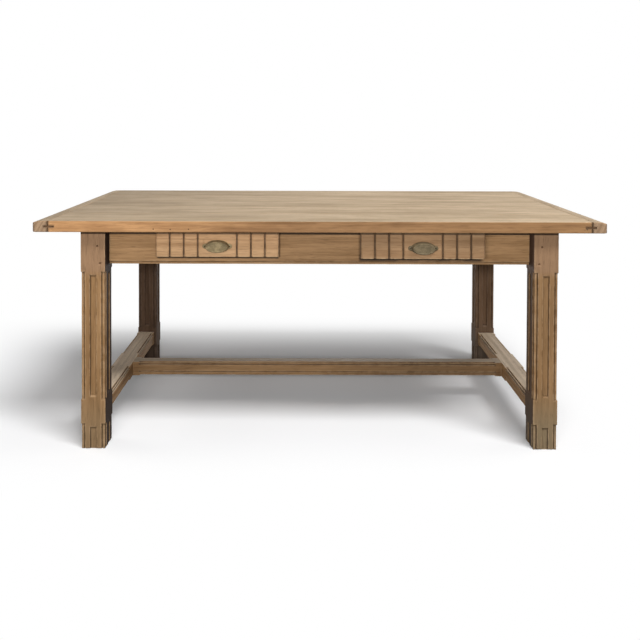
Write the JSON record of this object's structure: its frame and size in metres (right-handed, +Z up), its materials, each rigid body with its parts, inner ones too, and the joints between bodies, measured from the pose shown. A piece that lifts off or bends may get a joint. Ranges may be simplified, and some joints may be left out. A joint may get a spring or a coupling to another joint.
{
  "type": "kitchen table with drawers",
  "caption": "Long oak kitchen table: clamped plank top, square legs with stopped corner mouldings on an H stretcher, and reeded overlay drawers with cup pulls in the front rail.",
  "frame": {"origin": "on the floor, under the middle of the tabletop", "axes": "+X along the table to the right as seen from the drawer side, -Y towards the drawer side, +Z up"},
  "size_m": [1.9, 0.91, 0.77],
  "materials": {
    "top_oak": "weathered oak, greyed and dry, worn through the wax",
    "frame_oak": "aged mid-brown oak, thin matt wax",
    "drawer_oak": "aged warm-brown oak, thin matt wax",
    "inner_oak": "bare planed oak, unfinished",
    "peg_oak": "dark oak end grain",
    "pull_brass": "old olive-grey patina, satin",
    "dark_steel": "dark oxidised steel"
  },
  "bodies": {
    "table": {"top_plank_1": "top_oak", "top_plank_2": "top_oak", "top_plank_3": "top_oak", "top_plank_4": "top_oak", "top_plank_5": "top_oak", "left_end_board": "top_oak", "left_end_spline": "peg_oak", "right_end_board": "top_oak", "right_end_spline": "peg_oak", "front_left_leg": "frame_oak", "front_right_leg": "frame_oak", "back_left_leg": "frame_oak", "back_right_leg": "frame_oak", "front_rail": "frame_oak", "back_rail": "frame_oak", "left_side_rail": "frame_oak", "right_side_rail": "frame_oak", "left_stretcher": "frame_oak", "right_stretcher": "frame_oak", "long_stretcher": "frame_oak", "front_rail_pegs": "peg_oak", "back_rail_pegs": "peg_oak", "side_rail_pegs": "peg_oak", "stretcher_pegs": "peg_oak", "top_buttons": "inner_oak", "button_screws": "dark_steel", "left_drawer_left_runner": "inner_oak", "left_drawer_left_guide": "inner_oak", "left_drawer_right_runner": "inner_oak", "left_drawer_right_guide": "inner_oak", "right_drawer_left_runner": "inner_oak", "right_drawer_left_guide": "inner_oak", "right_drawer_right_runner": "inner_oak", "right_drawer_right_guide": "inner_oak"},
    "left_drawer": {"left_drawer_front": "drawer_oak", "left_drawer_left_side": "inner_oak", "left_drawer_right_side": "inner_oak", "left_drawer_back": "inner_oak", "left_drawer_bottom": "inner_oak", "left_drawer_pull": "pull_brass", "left_pull_screws": "dark_steel", "left_bottom_nails": "dark_steel"},
    "right_drawer": {"right_drawer_front": "drawer_oak", "right_drawer_left_side": "inner_oak", "right_drawer_right_side": "inner_oak", "right_drawer_back": "inner_oak", "right_drawer_bottom": "inner_oak", "right_drawer_pull": "pull_brass", "right_pull_screws": "dark_steel", "right_bottom_nails": "dark_steel"}
  },
  "joints": [
    {"name": "left_drawer_slide", "type": "slide", "parent": "table", "child": "left_drawer", "axis": [0, -1, 0], "range_m": [0, 0.3]},
    {"name": "right_drawer_slide", "type": "slide", "parent": "table", "child": "right_drawer", "axis": [0, -1, 0], "range_m": [-0.025, 0.275]}
  ]
}
